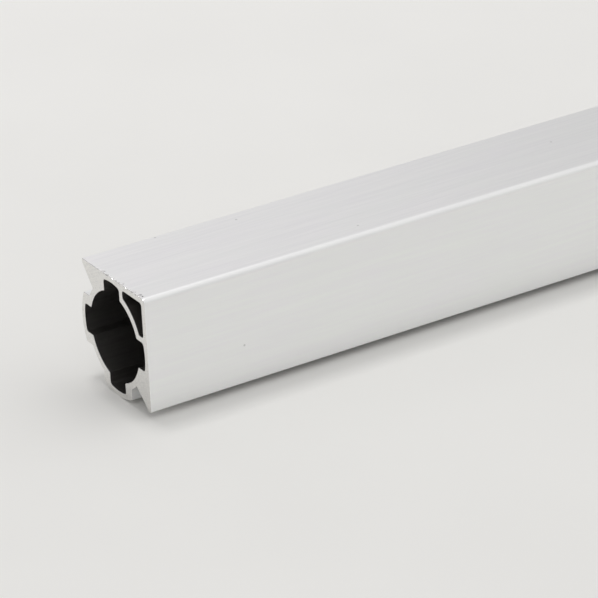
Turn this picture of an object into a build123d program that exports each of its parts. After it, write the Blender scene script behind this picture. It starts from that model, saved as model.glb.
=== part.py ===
from build123d import *
import math
import os

# Extruded aluminium bar, lying along Y. The section is a round tube with a square corner:
# two flat walls meet at a right angle, and each runs on past the tube as a tapered fin.
# Sizes are millimetres. In the section, X is across the bar and Y is upwards, from the bore axis.
# The origin is the middle of the bar's length, on the floor under the bore axis.

bar_length = 1000.0

# The two flats and the two round lands all lie this far from the bore axis.
outer_radius = 14.0
corner_radius = 1.2

# Round bore. Its wall is the tube's back, and the web between the bore and the corner cavity.
bore_radius = 10.25
tube_wall = 1.5

# Two lands stand out from the tube's round back, on the sides away from the flats.
land_half_width = 5.9
land_edge_radius = 0.3
back_root_radius = 0.3

# A fin reaches this far from the bore axis, along its flat, and ends in a blunt tip.
fin_reach = 12.4
fin_tip_width = 0.9
fin_tip_radius = 0.3

# Four lengthwise pockets in the bore leave this wall under the lands and the flats.
pocket_wall = 1.2
pocket_half_width = 3.35
pocket_corner_radius = 0.8
pocket_mouth_radius = 0.25

# A closed cavity lies in the square corner, behind the flats and beside two of the pockets.
flat_wall = 1.3
pocket_side_wall = 1.25
cavity_corner_radius = 0.7

# Places that follow from the sizes above.
bore_height = outer_radius
back_radius = bore_radius + tube_wall
pocket_radius = outer_radius - pocket_wall
cavity_start = pocket_half_width + pocket_side_wall
cavity_end = outer_radius - flat_wall
cavity_side = cavity_end - math.sqrt(back_radius**2 - cavity_start**2)
fin_root = (-back_radius * math.sqrt(0.5), back_radius * math.sqrt(0.5))

# Roundings never take more than about half of the short edge that carries them.
pocket_round = min(pocket_corner_radius, 0.45 * (pocket_radius - bore_radius))
cavity_round = min(cavity_corner_radius, 0.45 * cavity_side)
land_round = min(land_edge_radius, 0.45 * (outer_radius - back_radius))
root_round = min(back_root_radius, 0.45 * (outer_radius - back_radius))
tip_round = min(fin_tip_radius, 0.45 * fin_tip_width)

# The section is drawn on the far end and runs towards the near one.
end_plane = Plane(origin=(0, bar_length / 2, bore_height), x_dir=(1, 0, 0), z_dir=(0, -1, 0))
corner_diagonal = Plane(origin=(0, 0, 0), x_dir=(1, 1, 0), z_dir=(1, -1, 0))


def at_radius(radius):
    """Choose the vertices that lie at one distance from the bore axis."""
    return lambda vertex: abs(math.hypot(vertex.X, vertex.Y) - radius) < 1e-4


def at_point(x, y):
    """Choose the vertex that lies at one point of the section."""
    return lambda vertex: math.hypot(vertex.X - x, vertex.Y - y) < 1e-4


# Bore with its pockets. Each pocket is a slot across the bore, closed by a larger circle.
with BuildSketch() as bore:
    Circle(pocket_radius)
    with BuildSketch(mode=Mode.INTERSECT):
        Rectangle(2 * pocket_radius, 2 * pocket_half_width)
        Rectangle(2 * pocket_half_width, 2 * pocket_radius)
    fillet(bore.vertices().filter_by(at_radius(pocket_radius)), pocket_round)
    Circle(bore_radius)
    fillet(bore.vertices().filter_by(at_radius(bore_radius)), pocket_mouth_radius)

# Corner cavity: a square pocket with the web's round side cut from it.
with BuildSketch() as cavity:
    with Locations((cavity_start, cavity_start)):
        Rectangle(cavity_end - cavity_start, cavity_end - cavity_start, align=Align.MIN)
    Circle(back_radius, mode=Mode.SUBTRACT)
    fillet(cavity.vertices(), cavity_round)

# Round back with its two lands, on the sides away from the flats.
with BuildSketch() as round_back:
    Circle(outer_radius)
    with BuildSketch(mode=Mode.INTERSECT):
        with Locations((-outer_radius, 0)):
            Rectangle(2 * outer_radius, 2 * land_half_width)
        with Locations((0, -outer_radius)):
            Rectangle(2 * land_half_width, 2 * outer_radius)
    fillet(round_back.vertices().filter_by(at_radius(outer_radius)), land_round)
    Circle(back_radius)

# One flat with its fin, from the square corner to the blunt tip and down to the fin's root.
with BuildSketch() as fin:
    with BuildLine():
        Polyline(
            (0, 0),
            (outer_radius, outer_radius),
            (-fin_reach, outer_radius),
            (-fin_reach, outer_radius - fin_tip_width),
            fin_root,
            close=True,
        )
    make_face()
    fillet(fin.vertices().filter_by(at_point(-fin_reach, outer_radius)), tip_round)
    fillet(fin.vertices().filter_by(at_point(-fin_reach, outer_radius - fin_tip_width)), tip_round)

with BuildSketch() as outline:
    add(round_back.sketch)
    add(fin.sketch)
    mirror(fin.sketch, about=corner_diagonal)
    fillet(outline.vertices().filter_by(at_point(outer_radius, outer_radius)), corner_radius)
    fillet(outline.vertices().filter_by(at_radius(back_radius)), root_round)

with BuildPart() as square_tube:
    with BuildSketch(end_plane):
        add(outline.sketch)
        add(bore.sketch, mode=Mode.SUBTRACT)
        add(cavity.sketch, mode=Mode.SUBTRACT)
    extrude(amount=bar_length)

os.makedirs("parts", exist_ok=True)
square_tube.part.label = "square_tube"
export_step(square_tube.part, "parts/square_tube.step")
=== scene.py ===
"""Dresses an extruded aluminium frame tube: a bar with anodised faces, bore walls greyed with painted shade,
and sawn ends.
"""

import math

import bpy
from mathutils import Matrix, Vector, noise
from mathutils.geometry import delaunay_2d_cdt


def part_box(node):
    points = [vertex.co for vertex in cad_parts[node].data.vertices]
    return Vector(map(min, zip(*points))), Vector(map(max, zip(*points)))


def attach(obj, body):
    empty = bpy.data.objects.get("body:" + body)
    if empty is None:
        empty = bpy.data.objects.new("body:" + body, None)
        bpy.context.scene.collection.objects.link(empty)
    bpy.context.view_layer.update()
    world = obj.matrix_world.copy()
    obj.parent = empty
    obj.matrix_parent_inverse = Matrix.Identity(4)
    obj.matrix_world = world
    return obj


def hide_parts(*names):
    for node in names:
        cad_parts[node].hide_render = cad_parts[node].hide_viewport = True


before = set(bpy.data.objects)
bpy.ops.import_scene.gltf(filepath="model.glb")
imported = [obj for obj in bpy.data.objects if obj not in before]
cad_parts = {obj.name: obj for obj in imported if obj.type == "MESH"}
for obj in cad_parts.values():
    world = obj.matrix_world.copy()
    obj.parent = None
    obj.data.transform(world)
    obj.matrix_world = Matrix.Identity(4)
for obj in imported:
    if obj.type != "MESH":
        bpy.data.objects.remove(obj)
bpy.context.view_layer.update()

MM = 0.001

# Section of the bar in millimetres, from the bore axis, as in the part's own source.
OUTER_RADIUS = 14.0
CORNER_RADIUS = 1.2
BORE_RADIUS = 10.25
TUBE_WALL = 1.5
LAND_HALF_WIDTH = 5.9
LAND_EDGE_RADIUS = 0.3
BACK_ROOT_RADIUS = 0.3
FIN_REACH = 12.4
FIN_TIP_WIDTH = 0.9
FIN_TIP_RADIUS = 0.3
POCKET_WALL = 1.2
POCKET_HALF_WIDTH = 3.35
POCKET_CORNER_RADIUS = 0.8
POCKET_MOUTH_RADIUS = 0.25
FLAT_WALL = 1.3
POCKET_SIDE_WALL = 1.25
CAVITY_CORNER_RADIUS = 0.7

BACK_RADIUS = BORE_RADIUS + TUBE_WALL
POCKET_RADIUS = OUTER_RADIUS - POCKET_WALL
CAVITY_START = POCKET_HALF_WIDTH + POCKET_SIDE_WALL
CAVITY_END = OUTER_RADIUS - FLAT_WALL

# Directions in the section, in degrees from the front flat's side, turning over the top flat.
QUARTER = 90
FIN_ROOT_ANGLE = 135
LAND_ANGLE = 180
MIRROR_ANGLE = 225

# The frame gives the bar's place and length.
node_low, node_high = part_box("square_tube")
BORE_HEIGHT = node_high.z / MM - OUTER_RADIUS
NEAR_END = node_low.y / MM
FAR_END = node_high.y / MM

# How finely the section is drawn, and the gap to a point beside each rounding that steadies the shading.
ARC_STEP_DEGREES = 2.5
ROUND_STEP_DEGREES = 9.0
SUPPORT_GAP = 0.12

# Edges that turn by more than this are shaded sharp.
SHARP_ANGLE_DEGREES = 32.0

# Broken edges at the ends, and the rings of vertices between them.
EDGE_BREAK = 0.06
END_RING = 0.7
RING_SPACING = 50.0

# Chips that the saw tore from the top edge. Noise above a threshold makes them. It is scaled to a depth
# along the bar and to a reach down the sawn face.
CHIP_STEP = 0.2
CHIP_BAND = 0.2
CHIPS_PER_MM = 2.6
CHIP_THRESHOLD = 0.02
CHIP_DEPTH = 1.5
CHIP_REACH = 0.55
CHIP_REACH_LIMIT = 0.2

# The chips are faint over the fin and grow to full size over the bore.
CHIPS_START = -7.0
CHIPS_RISE = 4.0
CHIPS_LEAST = 0.15

# Rows of the noise, so that the near edge, the far edge and the faces chip differently. This noise is 0
# where all its coordinates are whole numbers, so the layer isn't one.
NEAR_ROW = 0.0
FAR_ROW = 5.0
FACE_ROW = 9.0
CHIP_LAYER = 0.5

# Grid of points on a sawn face, the share of its step that it keeps from the rims, and the tolerance at
# which points are joined.
SAW_GRID = 0.28
GRID_MARGIN = 0.6
JOIN_TOLERANCE = 1e-7

# Saw blade: its centre from the bore axis, in front and below, and the spacing at which its arcs are drawn.
BLADE_CENTRE = (60.0, -130.0)
ARC_SPACING = 0.45

# Relief of a sawn face: its mean depth, waves about the blade's centre that wander a little, and grain.
# The far end takes its relief from another stretch of the same noise.
RELIEF_MEAN = 0.018
WAVE_DEPTH = 0.007
WAVE_SPACING = 1.1
WAVE_WANDER = 2.0
WANDERS_PER_MM = 0.2
GRAIN_DEPTH = 0.010
GRAINS_PER_MM = 1.6
GRAIN_LAYER = 7.0
FAR_END_SHIFT = 40.0

# Slots of the three finishes on the bar. The inside one carries painted shade in its grey.
OUTSIDE = 0
INSIDE = 1
SAWN = 2


def along_arc(radius, start, end):
    """Points on a circle about the bore axis, from one angle to another, in degrees."""
    steps = max(2, round(abs(end - start) / ARC_STEP_DEGREES))
    turns = [math.radians(start + (end - start) * k / steps) for k in range(steps + 1)]
    return [Vector((radius * math.cos(t), radius * math.sin(t))) for t in turns]


def along_line(*points):
    """Points of a run that needs no others between them."""
    return [Vector(point) for point in points]


def along_edge(start, end):
    """Points along a straight edge, close enough together to carry small chips."""
    start, end = Vector(start), Vector(end)
    steps = math.ceil((end - start).length / CHIP_STEP)
    return [start.lerp(end, k / steps) for k in range(steps + 1)]


def trimmed(run, cut):
    """A run with a length cut from its end, and a support point close to the cut."""
    run = list(run)
    for gap, keep in ((cut, False), (SUPPORT_GAP, True)):
        removed = [run[-1]]
        while len(run) > 1 and (run[-1] - run[-2]).length <= gap:
            gap -= (run[-1] - run[-2]).length
            run.pop()
        if len(run) < 2:
            return run + removed
        step = (run[-2] - run[-1]).normalized()
        place = run[-1] + step * gap
        run[-1] = place
        if keep:
            run.append(removed[0])
    return run


def rounded_loop(runs, radii):
    """Joins runs into a closed loop. The corner after each run is rounded to its radius.

    A rounding is a weighted curve on three points, which is a true arc between two straight runs.
    """
    runs = [list(run) for run in runs]
    corners = []
    for k, radius in enumerate(radii):
        before = runs[k]
        after = runs[(k + 1) % len(runs)]
        heading = (before[-1] - before[-2]).normalized()
        leaving = (after[1] - after[0]).normalized()
        turn = math.acos(max(-1.0, min(1.0, heading.dot(leaving))))
        cut = radius * math.tan(turn / 2)
        corners.append((before[-1].copy(), turn))
        runs[k] = trimmed(before, cut)
        runs[(k + 1) % len(runs)] = trimmed(after[::-1], cut)[::-1]
    loop = []
    for k, (corner, turn) in enumerate(corners):
        loop.extend(runs[k])
        first = runs[k][-1]
        last = runs[(k + 1) % len(runs)][0]
        weight = math.cos(turn / 2)
        steps = max(2, round(math.degrees(turn) / ROUND_STEP_DEGREES))
        for s in range(1, steps):
            t = s / steps
            a, b, c = (1 - t) ** 2, 2 * t * (1 - t) * weight, t**2
            loop.append((first * a + corner * b + last * c) / (a + b + c))
    return loop


def outline_loop():
    """Outside of the bar, counter-clockwise, from the square corner over the top flat.

    One half is drawn as far as the line that the section is mirrored about. The other half is its mirror
    image, so its points have X and Z exchanged.
    """
    root = BACK_RADIUS * math.sqrt(0.5)
    foot_half = math.degrees(math.asin(LAND_HALF_WIDTH / BACK_RADIUS))
    top_half = math.degrees(math.asin(LAND_HALF_WIDTH / OUTER_RADIUS))
    land = along_arc(OUTER_RADIUS, LAND_ANGLE - top_half, LAND_ANGLE + top_half)
    back = along_arc(BACK_RADIUS, FIN_ROOT_ANGLE, LAND_ANGLE - foot_half)
    between = along_arc(BACK_RADIUS, LAND_ANGLE + foot_half, MIRROR_ANGLE)
    half = [
        along_edge((OUTER_RADIUS, OUTER_RADIUS), (-FIN_REACH, OUTER_RADIUS)),
        along_line((-FIN_REACH, OUTER_RADIUS), (-FIN_REACH, OUTER_RADIUS - FIN_TIP_WIDTH)),
        along_line((-FIN_REACH, OUTER_RADIUS - FIN_TIP_WIDTH), (-root, root)),
        back,
        [back[-1], land[0]],
        land,
        [land[-1], between[0]],
    ]
    radii = [
        FIN_TIP_RADIUS,
        FIN_TIP_RADIUS,
        BACK_ROOT_RADIUS,
        BACK_ROOT_RADIUS,
        LAND_EDGE_RADIUS,
        LAND_EDGE_RADIUS,
        BACK_ROOT_RADIUS,
    ]
    other = [[point.yx for point in run[::-1]] for run in half[::-1]]
    whole_back = between + [point.yx for point in between[-2::-1]]
    return rounded_loop(half + [whole_back] + other, radii + radii[::-1] + [CORNER_RADIUS])


def bore_loop():
    """Bore with its four pockets, clockwise, so that its walls face the bore axis."""
    mouth = math.degrees(math.asin(POCKET_HALF_WIDTH / BORE_RADIUS))
    half = math.degrees(math.asin(POCKET_HALF_WIDTH / POCKET_RADIUS))
    runs = []
    radii = []
    for k in range(4):
        pocket = along_arc(POCKET_RADIUS, QUARTER * k - half, QUARTER * k + half)
        wall = along_arc(BORE_RADIUS, QUARTER * k + mouth, QUARTER * (k + 1) - mouth)
        following = along_arc(POCKET_RADIUS, QUARTER * (k + 1) - half, QUARTER * (k + 1) + half)
        runs += [pocket, [pocket[-1], wall[0]], wall, [wall[-1], following[0]]]
        radii += [POCKET_CORNER_RADIUS, POCKET_MOUTH_RADIUS, POCKET_MOUTH_RADIUS, POCKET_CORNER_RADIUS]
    return rounded_loop(runs, radii)[::-1]


def cavity_loop():
    """Corner cavity, clockwise. One of its sides is the round web between it and the bore."""
    reach = math.degrees(math.acos(CAVITY_START / BACK_RADIUS))
    web = along_arc(BACK_RADIUS, reach, QUARTER - reach)
    runs = [
        along_line((CAVITY_END, CAVITY_START), (CAVITY_END, CAVITY_END)),
        along_line((CAVITY_END, CAVITY_END), (CAVITY_START, CAVITY_END)),
        [Vector((CAVITY_START, CAVITY_END)), web[0]],
        web,
        [web[-1], Vector((CAVITY_END, CAVITY_START))],
    ]
    return rounded_loop(runs, [CAVITY_CORNER_RADIUS] * len(runs))[::-1]


def chip(point, row, size):
    """Extra width of the broken edge at a point of the section: a chip on the top edge, and 0 elsewhere."""
    if point.y < OUTER_RADIUS - CHIP_BAND:
        return 0.0
    growth = min(1.0, max(CHIPS_LEAST, (point.x - CHIPS_START) / CHIPS_RISE))
    torn = noise.noise(Vector((point.x * CHIPS_PER_MM, row, CHIP_LAYER)))
    return size * growth * max(0.0, torn - CHIP_THRESHOLD)


def shrunk(loop, distance, chips=False):
    """A loop moved into the metal by a small distance. The metal lies on the loop's left."""
    moved = []
    for k, point in enumerate(loop):
        along = (loop[(k + 1) % len(loop)] - loop[k - 1]).normalized()
        extra = min(CHIP_REACH_LIMIT, chip(point, FACE_ROW, CHIP_REACH)) if chips else 0.0
        moved.append(point + Vector((-along.y, along.x)) * (distance + extra))
    return moved


def saw_relief(x, z):
    """Depth of the saw's marks below the end plane, in millimetres, and never above it."""
    blade = Vector((x - BLADE_CENTRE[0], z - BLADE_CENTRE[1])).length
    wander = WAVE_WANDER * noise.noise(Vector((x, z, 0)) * WANDERS_PER_MM)
    wave = math.sin(blade * 2 * math.pi / WAVE_SPACING + wander)
    grain = noise.noise(Vector((x, z, GRAIN_LAYER)) * GRAINS_PER_MM)
    return max(0.0, RELIEF_MEAN + WAVE_DEPTH * wave + GRAIN_DEPTH * grain)


def ring_places():
    """Distances along Y of the rings of vertices between the two broken edges.

    The first and the last ring keep the smooth shading of the flats clear of the chipped edge.
    """
    low = NEAR_END + END_RING
    high = FAR_END - END_RING
    count = max(1, round((high - low) / RING_SPACING))
    return [low + (high - low) * k / count for k in range(count + 1)]


def inside(point, loop):
    """Whether a point lies inside a closed loop."""
    hit = False
    for k, a in enumerate(loop):
        b = loop[k - 1]
        if (a.y > point.y) != (b.y > point.y):
            if point.x < (b.x - a.x) * (point.y - a.y) / (b.y - a.y) + a.x:
                hit = not hit
    return hit


def in_metal(point, loops):
    """Whether a point of the section lies in the first loop and outside all the others."""
    return inside(point, loops[0]) and not any(inside(point, loop) for loop in loops[1:])


def sawn_face(rims):
    """Points and triangles of a sawn face: the rims' own points, then a grid of points between them.

    The triangles first cover the rims' whole convex hull. Those over a gap in the metal are left out.
    """
    points = [point for rim in rims for point in rim]
    edges = []
    first = 0
    for rim in rims:
        edges += [(first + k, first + (k + 1) % len(rim)) for k in range(len(rim))]
        first += len(rim)
    clear = [shrunk(rim, GRID_MARGIN * SAW_GRID) for rim in rims]
    count = math.ceil(2 * OUTER_RADIUS / SAW_GRID)
    for row in range(count + 1):
        for column in range(count + 1):
            spot = Vector((column * SAW_GRID - OUTER_RADIUS, row * SAW_GRID - OUTER_RADIUS))
            if in_metal(spot, clear):
                points.append(spot)
    flat, _, triangles, _, _, _ = delaunay_2d_cdt(points, edges, [], 0, JOIN_TOLERANCE)
    centres = [sum((flat[v] for v in triangle), Vector((0, 0))) / len(triangle) for triangle in triangles]
    return flat, [triangle for triangle, centre in zip(triangles, centres) if in_metal(centre, rims)]


def make_bar():
    """The whole bar: walls from ring to ring along it, and a sawn face with a broken edge at each end."""
    loops = [outline_loop(), bore_loop(), cavity_loop()]
    vertices = []
    faces = []
    slots = []

    def add_vertex(x, y, z):
        vertices.append((x * MM, y * MM, (z + BORE_HEIGHT) * MM))
        return len(vertices) - 1

    def add_strip(near, far, slot):
        for k in range(len(near)):
            after = (k + 1) % len(near)
            faces.append((near[k], far[k], far[after], near[after]))
            slots.append(slot)

    near_edges = []
    far_edges = []
    for loop, slot in zip(loops, (OUTSIDE, INSIDE, INSIDE)):
        rings = [[add_vertex(p.x, y, p.y) for p in loop] for y in ring_places()]
        near_places = [NEAR_END + EDGE_BREAK + chip(p, NEAR_ROW, CHIP_DEPTH) for p in loop]
        far_places = [FAR_END - EDGE_BREAK - chip(p, FAR_ROW, CHIP_DEPTH) for p in loop]
        near_edges.append([add_vertex(p.x, y, p.y) for p, y in zip(loop, near_places)])
        far_edges.append([add_vertex(p.x, y, p.y) for p, y in zip(loop, far_places)])
        rings = [near_edges[-1], *rings, far_edges[-1]]
        for near, far in zip(rings, rings[1:]):
            add_strip(near, far, slot)

    rims = [shrunk(loop, EDGE_BREAK, chips=True) for loop in loops]
    flat, triangles = sawn_face(rims)
    rim_points = sum(len(rim) for rim in rims)
    for end, inward, shift in ((NEAR_END, 1, 0.0), (FAR_END, -1, FAR_END_SHIFT)):
        depths = [saw_relief(p.x, p.y + shift) if k >= rim_points else 0.0 for k, p in enumerate(flat)]
        face_points = [add_vertex(p.x, end + inward * depth, p.y) for p, depth in zip(flat, depths)]
        for triangle in triangles:
            corners = [face_points[v] for v in triangle]
            faces.append(corners if end == NEAR_END else corners[::-1])
            slots.append(SAWN)
        first = 0
        for near_edge, far_edge in zip(near_edges, far_edges):
            rim = face_points[first : first + len(near_edge)]
            first += len(near_edge)
            if end == NEAR_END:
                add_strip(rim, near_edge, SAWN)
            else:
                add_strip(far_edge, rim, SAWN)

    mesh = bpy.data.meshes.new("extruded_tube")
    mesh.from_pydata(vertices, [], faces)
    mesh.update()
    mesh.polygons.foreach_set("use_smooth", [True] * len(mesh.polygons))
    mesh.polygons.foreach_set("material_index", slots)
    mesh.set_sharp_from_angle(angle=math.radians(SHARP_ANGLE_DEGREES))
    bar = bpy.data.objects.new("extruded_tube", mesh)
    bpy.context.scene.collection.objects.link(bar)
    return bar


# Names for the numbered sockets of a colour Mix node: its three inputs and its output.
SHARE = 0
FIRST = 6
SECOND = 7
MIXED = 2

# Patterns: their sizes are across, along and up, in millimetres. A spread is the range of a pattern's
# values that runs from one end of a finish to the other. The roughness weighs a pattern's finer layers.
NOISE_ROUGHNESS = 0.55


def linear(code):
    """An sRGB hex colour as the linear values that a shader takes."""
    channels = [int(code[k : k + 2], 16) / 255 for k in (1, 3, 5)]
    return [c / 12.92 if c <= 0.04045 else ((c + 0.055) / 1.055) ** 2.4 for c in channels] + [1.0]


def add_node(tree, kind, inputs, output=0, **settings):
    """Adds a shader node, sets or links its inputs, and returns one of its outputs."""
    node = tree.nodes.new("ShaderNode" + kind)
    for name, value in settings.items():
        setattr(node, name, value)
    for name, value in inputs.items():
        if isinstance(value, bpy.types.NodeSocket):
            tree.links.new(value, node.inputs[name])
        else:
            node.inputs[name].default_value = value
    return node.outputs[output]


def new_material(name):
    """A new material, its node tree and its shader."""
    material = bpy.data.materials.new(name)
    material.use_nodes = True
    return material, material.node_tree, material.node_tree.nodes["Principled BSDF"]


def cloudiness(tree, sizes, detail=2.0):
    """Soft random pattern, mostly from about 0.3 to 0.7, of the given sizes."""
    place = add_node(tree, "TexCoord", {}, "Object")
    steps = [1 / (size * MM) for size in sizes]
    scaled = add_node(tree, "VectorMath", {0: place, 1: steps}, operation="MULTIPLY")
    inputs = {"Vector": scaled, "Scale": 1.0, "Detail": detail, "Roughness": NOISE_ROUGHNESS}
    return add_node(tree, "TexNoise", inputs, "Fac")


# Nicks: their size and mean spacing, and the shares of the size at which a nick is full and has faded out.
NICK_SIZE = 0.36
NICK_SPACING = 48.0
NICK_CORE = 0.5
NICK_FADE = 0.9
PLACED_NICK_FADE = 1.0

# Two nicks as the photograph shows them on the top flat: place across, and distance from the near end.
NICK_PLACES = ((-11.8, 17.8), (-9.1, 36.7))


def nicks(tree):
    """Tiny handling nicks in the oxide: 1 inside them and 0 outside. Two are placed and the rest scattered.

    The flats are unrolled over the square corner, so that one flat pattern covers both of them.
    """
    place = add_node(tree, "TexCoord", {}, "Object")
    split = add_node(tree, "SeparateXYZ", {"Vector": place}).node.outputs
    girth = add_node(tree, "Math", {0: split["X"], 1: split["Z"]}, operation="SUBTRACT")
    unrolled = add_node(tree, "CombineXYZ", {"X": girth, "Y": split["Y"]})
    cells = {"Vector": unrolled, "Scale": 1 / (NICK_SPACING * MM)}
    away = add_node(tree, "TexVoronoi", cells, "Distance", voronoi_dimensions="2D")
    core = NICK_CORE * NICK_SIZE / NICK_SPACING
    edge = {"From Min": core, "From Max": NICK_FADE * NICK_SIZE / NICK_SPACING}
    mark = add_node(tree, "MapRange", {"Value": away, **edge, "To Min": 1.0, "To Max": 0.0})
    for across, along in NICK_PLACES:
        spot = ((across - 2 * OUTER_RADIUS) * MM, (NEAR_END + along) * MM, 0.0)
        away = add_node(tree, "VectorMath", {0: unrolled, 1: spot}, "Value", operation="DISTANCE")
        edge = {"From Min": NICK_CORE * NICK_SIZE * MM, "From Max": PLACED_NICK_FADE * NICK_SIZE * MM}
        nick = add_node(tree, "MapRange", {"Value": away, **edge, "To Min": 1.0, "To Max": 0.0})
        mark = add_node(tree, "Math", {0: mark, 1: nick}, operation="MAXIMUM")
    return mark


# Anodised finish: fine and broad die lines, the oxide's clouds, and how strongly nicks darken it.
FINE_LINES = (0.6, 18.0, 0.6)
BROAD_LINES = (2.6, 110.0, 2.6)
FINE_SHARE = 0.6
BROAD_SHARE = 0.4
LINE_SPREAD = (0.34, 0.66)
LINE_RELIEF = 0.014
OXIDE_CLOUDS = (7.0, 16.0, 7.0)
OXIDE_DETAIL = 4.0
CLOUD_SPREAD = (0.3, 0.7)
CLOUD_STRENGTH = 0.25
NICK_STRENGTH = 0.28

# Heights, in bore heights, over which the lines turn from faint to the clearer ones of the top flat.
CLEARER_HEIGHTS = (1.85, 1.99)


def anodised_aluminium():
    """Aluminium, extruded and clear anodised. That gives a satin silver-white, faintly streaked lengthwise.

    The die's own lines are a few hundredths of a millimetre wide. They are drawn 0.6 and 2.6 mm wide, so that
    they show. They are clearer on the top flat because the photograph shows them so. The oxide is a little
    cloudy, and is gone in a few tiny nicks. It veils the metal, so the finish isn't fully metallic.
    """
    material, tree, shader = new_material("anodised_aluminium")
    fine = cloudiness(tree, FINE_LINES)
    broad = cloudiness(tree, BROAD_LINES)
    cloudy = cloudiness(tree, OXIDE_CLOUDS, OXIDE_DETAIL)
    fine_part = add_node(tree, "Math", {0: fine, 1: FINE_SHARE}, operation="MULTIPLY")
    streak = add_node(tree, "Math", {0: broad, 1: BROAD_SHARE, 2: fine_part}, operation="MULTIPLY_ADD")
    lines = {"Value": streak, "From Min": LINE_SPREAD[0], "From Max": LINE_SPREAD[1]}
    share = add_node(tree, "MapRange", lines)
    clouds = {"Value": cloudy, "From Min": CLOUD_SPREAD[0], "From Max": CLOUD_SPREAD[1]}
    cloud = add_node(tree, "MapRange", {**clouds, "To Max": CLOUD_STRENGTH})
    worn = add_node(tree, "Math", {0: nicks(tree), 1: NICK_STRENGTH}, operation="MULTIPLY")
    faint = {SHARE: share, FIRST: linear("#F3F2F4"), SECOND: linear("#F5F6F5")}
    quiet = add_node(tree, "Mix", faint, MIXED, data_type="RGBA")
    clearer = {SHARE: share, FIRST: linear("#F0EFF0"), SECOND: linear("#F8F7F7")}
    lined = add_node(tree, "Mix", clearer, MIXED, data_type="RGBA")
    place = add_node(tree, "TexCoord", {}, "Object")
    height = add_node(tree, "SeparateXYZ", {"Vector": place}, "Z")
    low, high = (BORE_HEIGHT * heights * MM for heights in CLEARER_HEIGHTS)
    on_top = add_node(tree, "MapRange", {"Value": height, "From Min": low, "From Max": high})
    metal = add_node(tree, "Mix", {SHARE: on_top, FIRST: quiet, SECOND: lined}, MIXED, data_type="RGBA")
    veiled = {SHARE: cloud, FIRST: metal, SECOND: linear("#F2F6F0")}
    oxide = add_node(tree, "Mix", veiled, MIXED, data_type="RGBA")
    marked = {SHARE: worn, FIRST: oxide, SECOND: linear("#4A4A48")}
    nicked = add_node(tree, "Mix", marked, MIXED, data_type="RGBA")
    satin = add_node(tree, "MapRange", {"Value": share, "To Min": 0.45, "To Max": 0.41})
    relief = add_node(tree, "Bump", {"Strength": 1.0, "Distance": LINE_RELIEF * MM, "Height": streak})
    shader.inputs["Metallic"].default_value = 0.85
    tree.links.new(nicked, shader.inputs["Base Color"])
    tree.links.new(satin, shader.inputs["Roughness"])
    tree.links.new(relief, shader.inputs["Normal"])
    return material


# Bore material, greyed with painted shade: fine lines along the walls.
BORE_LINES = (0.8, 40.0, 0.8)


def bore_metal_with_painted_shade():
    """Extruded aluminium, in the bore and the cavity: smooth walls that mirror the dark, greyed with painted
    shade.

    The grey is matched to the photograph.
    """
    material, tree, shader = new_material("bore_metal_with_painted_shade")
    streak = cloudiness(tree, BORE_LINES)
    lines = {"Value": streak, "From Min": LINE_SPREAD[0], "From Max": LINE_SPREAD[1]}
    share = add_node(tree, "MapRange", lines)
    # Painted shade: the bore and cavity walls get this dark grey, darker than the bar's own metal.
    painted_shade_greys = {SHARE: share, FIRST: linear("#989694"), SECOND: linear("#A4A2A0")}
    metal = add_node(tree, "Mix", painted_shade_greys, MIXED, data_type="RGBA")
    smooth = add_node(tree, "MapRange", {"Value": share, "To Min": 0.38, "To Max": 0.34})
    shader.inputs["Metallic"].default_value = 1.0
    tree.links.new(metal, shader.inputs["Base Color"])
    tree.links.new(smooth, shader.inputs["Roughness"])
    return material


# Sawn finish: grain between the blade's arcs, and the depth of both.
SAW_GRAIN = (0.7, 0.7, 0.7)
SAW_DETAIL = 3.0
SAW_SPREAD = (0.36, 0.64)
SAW_MARK_RELIEF = 0.020


def sawn_aluminium():
    """Bare aluminium, as the saw left it. That gives a bright face with the blade's arcs and a fine grain.

    The teeth leave arcs about 0.1 mm apart. They are drawn 0.45 mm apart, so that they show.
    """
    material, tree, shader = new_material("sawn_aluminium")
    place = add_node(tree, "TexCoord", {}, "Object")
    split = add_node(tree, "SeparateXYZ", {"Vector": place}).node.outputs
    across = add_node(tree, "CombineXYZ", {"X": split["X"], "Z": split["Z"]})
    centre = (BLADE_CENTRE[0] * MM, 0.0, (BLADE_CENTRE[1] + BORE_HEIGHT) * MM)
    reach = add_node(tree, "VectorMath", {0: across, 1: centre}, "Value", operation="DISTANCE")
    spaced = add_node(tree, "Math", {0: reach, 1: 1 / (ARC_SPACING * MM)}, operation="MULTIPLY")
    lined = add_node(tree, "CombineXYZ", {"X": spaced})
    inputs = {"Vector": lined, "Scale": 1.0, "Detail": SAW_DETAIL, "Roughness": NOISE_ROUGHNESS}
    arcs = add_node(tree, "TexNoise", inputs, "Fac")
    grain = cloudiness(tree, SAW_GRAIN, SAW_DETAIL)
    both = add_node(tree, "Math", {0: arcs, 1: grain}, operation="ADD")
    marks = add_node(tree, "Math", {0: both, 1: 0.5}, operation="MULTIPLY")
    spread = {"Value": marks, "From Min": SAW_SPREAD[0], "From Max": SAW_SPREAD[1]}
    share = add_node(tree, "MapRange", spread)
    brights = {SHARE: share, FIRST: linear("#DEDDDB"), SECOND: linear("#EEEDEA")}
    metal = add_node(tree, "Mix", brights, MIXED, data_type="RGBA")
    gloss = add_node(tree, "MapRange", {"Value": share, "To Min": 0.24, "To Max": 0.16})
    relief = add_node(tree, "Bump", {"Strength": 1.0, "Distance": SAW_MARK_RELIEF * MM, "Height": marks})
    shader.inputs["Metallic"].default_value = 1.0
    tree.links.new(metal, shader.inputs["Base Color"])
    tree.links.new(gloss, shader.inputs["Roughness"])
    tree.links.new(relief, shader.inputs["Normal"])
    return material


# Paper on the floor: soft clouds in it.
PAPER_CLOUDS = (60.0, 60.0, 60.0)


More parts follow.
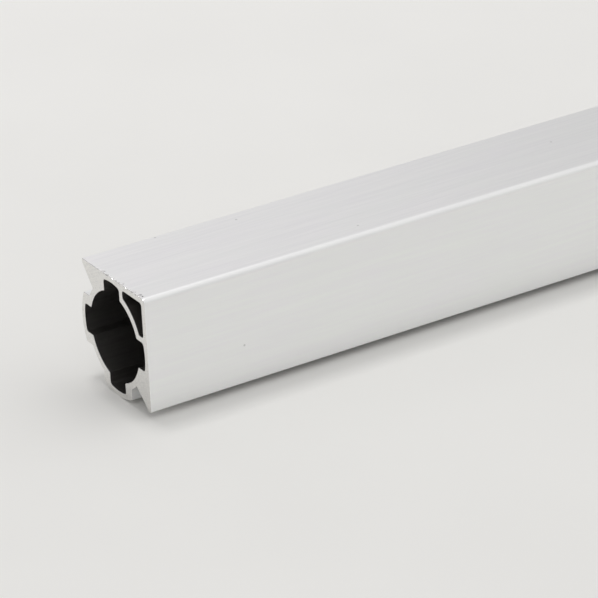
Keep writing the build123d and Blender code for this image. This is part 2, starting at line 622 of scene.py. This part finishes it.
def floor_paper():
    """Matt backdrop paper: pale, slightly warm, and barely cloudy."""
    material, tree, shader = new_material("floor_paper")
    cloud = cloudiness(tree, PAPER_CLOUDS)
    clouds = {"Value": cloud, "From Min": CLOUD_SPREAD[0], "From Max": CLOUD_SPREAD[1]}
    share = add_node(tree, "MapRange", clouds)
    pales = {SHARE: share, FIRST: linear("#F0EFEC"), SECOND: linear("#F2F1EE")}
    paper = add_node(tree, "Mix", pales, MIXED, data_type="RGBA")
    shader.inputs["Roughness"].default_value = 0.9
    tree.links.new(paper, shader.inputs["Base Color"])
    return material


# The finishes go on in the order of OUTSIDE, INSIDE and SAWN.
bar = make_bar()
for material in (anodised_aluminium(), bore_metal_with_painted_shade(), sawn_aluminium()):
    bar.data.materials.append(material)
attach(bar, "root")
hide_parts("square_tube")

# Floor: a square of paper, in metres.
FLOOR_HALF = 6.0
floor_sides = ((-1, -1), (1, -1), (1, 1), (-1, 1))
floor_corners = [(x * FLOOR_HALF, y * FLOOR_HALF, 0.0) for x, y in floor_sides]
floor_mesh = bpy.data.meshes.new("studio_floor")
floor_mesh.from_pydata(floor_corners, [], [(0, 1, 2, 3)])
floor = bpy.data.objects.new("studio_floor", floor_mesh)
floor_mesh.materials.append(floor_paper())
bpy.context.scene.collection.objects.link(floor)

# Room: pale, and brighter high over the front and the far end. Each bright patch has its direction, its
# level, and the cosines of the angles from that direction at which it starts and is full.
ROOM_LEVEL = 0.514
ROOM_PATCHES = (
    ((0.44, 0.47, 0.77), 0.28, 0.30, 0.95),
    ((0.50, 0.44, 0.75), 0.11, 0.80, 1.00),
)

# Lamps, in metres and watts, aimed near the cut end. One is a soft lamp high over the bar. The two others
# are faint cards behind it, which the top flat mirrors. Their faint violet is matched to the photograph.
LAMP_AIM = (0.0, -0.45, 0.0)
WHITE = (1.0, 1.0, 1.0)
CARD_TINT = (1.0, 0.955, 1.01)
LAMPS = (
    ("softbox", (-0.32, -0.43, 1.50), 0.32, 5.0, WHITE),
    ("backdrop_far", (-0.75, -0.40, 0.42), 0.50, 0.160, CARD_TINT),
    ("backdrop_near", (-0.46, -0.36, 0.30), 0.50, 0.115, CARD_TINT),
)


def make_room():
    """World light: an even level, with the bright patches added to it."""
    world = bpy.data.worlds.new("studio")
    bpy.context.scene.world = world
    world.use_nodes = True
    tree = world.node_tree
    background = tree.nodes["Background"]
    background.inputs["Color"].default_value = (*WHITE, 1.0)
    direction = add_node(tree, "TexCoord", {}, "Generated")
    strength = ROOM_LEVEL
    for towards, level, start, full in ROOM_PATCHES:
        centre = Vector(towards).normalized()
        facing = add_node(tree, "VectorMath", {0: direction, 1: centre}, "Value", operation="DOT_PRODUCT")
        fade = {"Value": facing, "From Min": start, "From Max": full, "To Max": level}
        patch = add_node(tree, "MapRange", fade, interpolation_type="SMOOTHSTEP")
        strength = add_node(tree, "Math", {0: strength, 1: patch}, operation="ADD")
    tree.links.new(strength, background.inputs["Strength"])


def make_lamp(name, place, size, power, tint):
    """Square lamp that faces the cut end and isn't seen itself."""
    light = bpy.data.lights.new(name, "AREA")
    light.shape = "SQUARE"
    light.size = size
    light.energy = power
    light.color = tint
    lamp = bpy.data.objects.new(name, light)
    lamp.location = place
    lamp.visible_camera = False
    lamp.rotation_euler = (Vector(LAMP_AIM) - Vector(place)).to_track_quat("-Z", "Y").to_euler()
    bpy.context.scene.collection.objects.link(lamp)


make_room()
for lamp in LAMPS:
    make_lamp(*lamp)

# Camera at the photograph's viewing angle: degrees, and millimetres from the bore axis at the near end.
VIEW_AZIMUTH = 58.712
VIEW_ELEVATION = 25.470
VIEW_ROLL = -2.653
VIEW_PLACE = (595.88, -315.92, 327.66)
LENS = 212.28
SENSOR = 36.0


def make_camera():
    """Camera that looks back along VIEW_AZIMUTH and VIEW_ELEVATION, rolled a little about its own axis."""
    data = bpy.data.cameras.new("camera")
    data.sensor_width = SENSOR
    data.lens = LENS
    camera = bpy.data.objects.new("camera", data)
    turn = math.radians(VIEW_AZIMUTH)
    rise = math.radians(VIEW_ELEVATION)
    back = Vector((math.sin(turn) * math.cos(rise), -math.cos(turn) * math.cos(rise), math.sin(rise)))
    right = Vector((math.cos(turn), math.sin(turn), 0))
    up = back.cross(right)
    basis = Matrix((right, up, back)).transposed()
    camera.rotation_mode = "QUATERNION"
    camera.rotation_quaternion = (basis @ Matrix.Rotation(math.radians(VIEW_ROLL), 3, "Z")).to_quaternion()
    camera.location = Vector(VIEW_PLACE) * MM + Vector((0, NEAR_END * MM, BORE_HEIGHT * MM))
    bpy.context.scene.collection.objects.link(camera)
    bpy.context.scene.camera = camera


make_camera()
bpy.context.scene.view_settings.view_transform = "Standard"
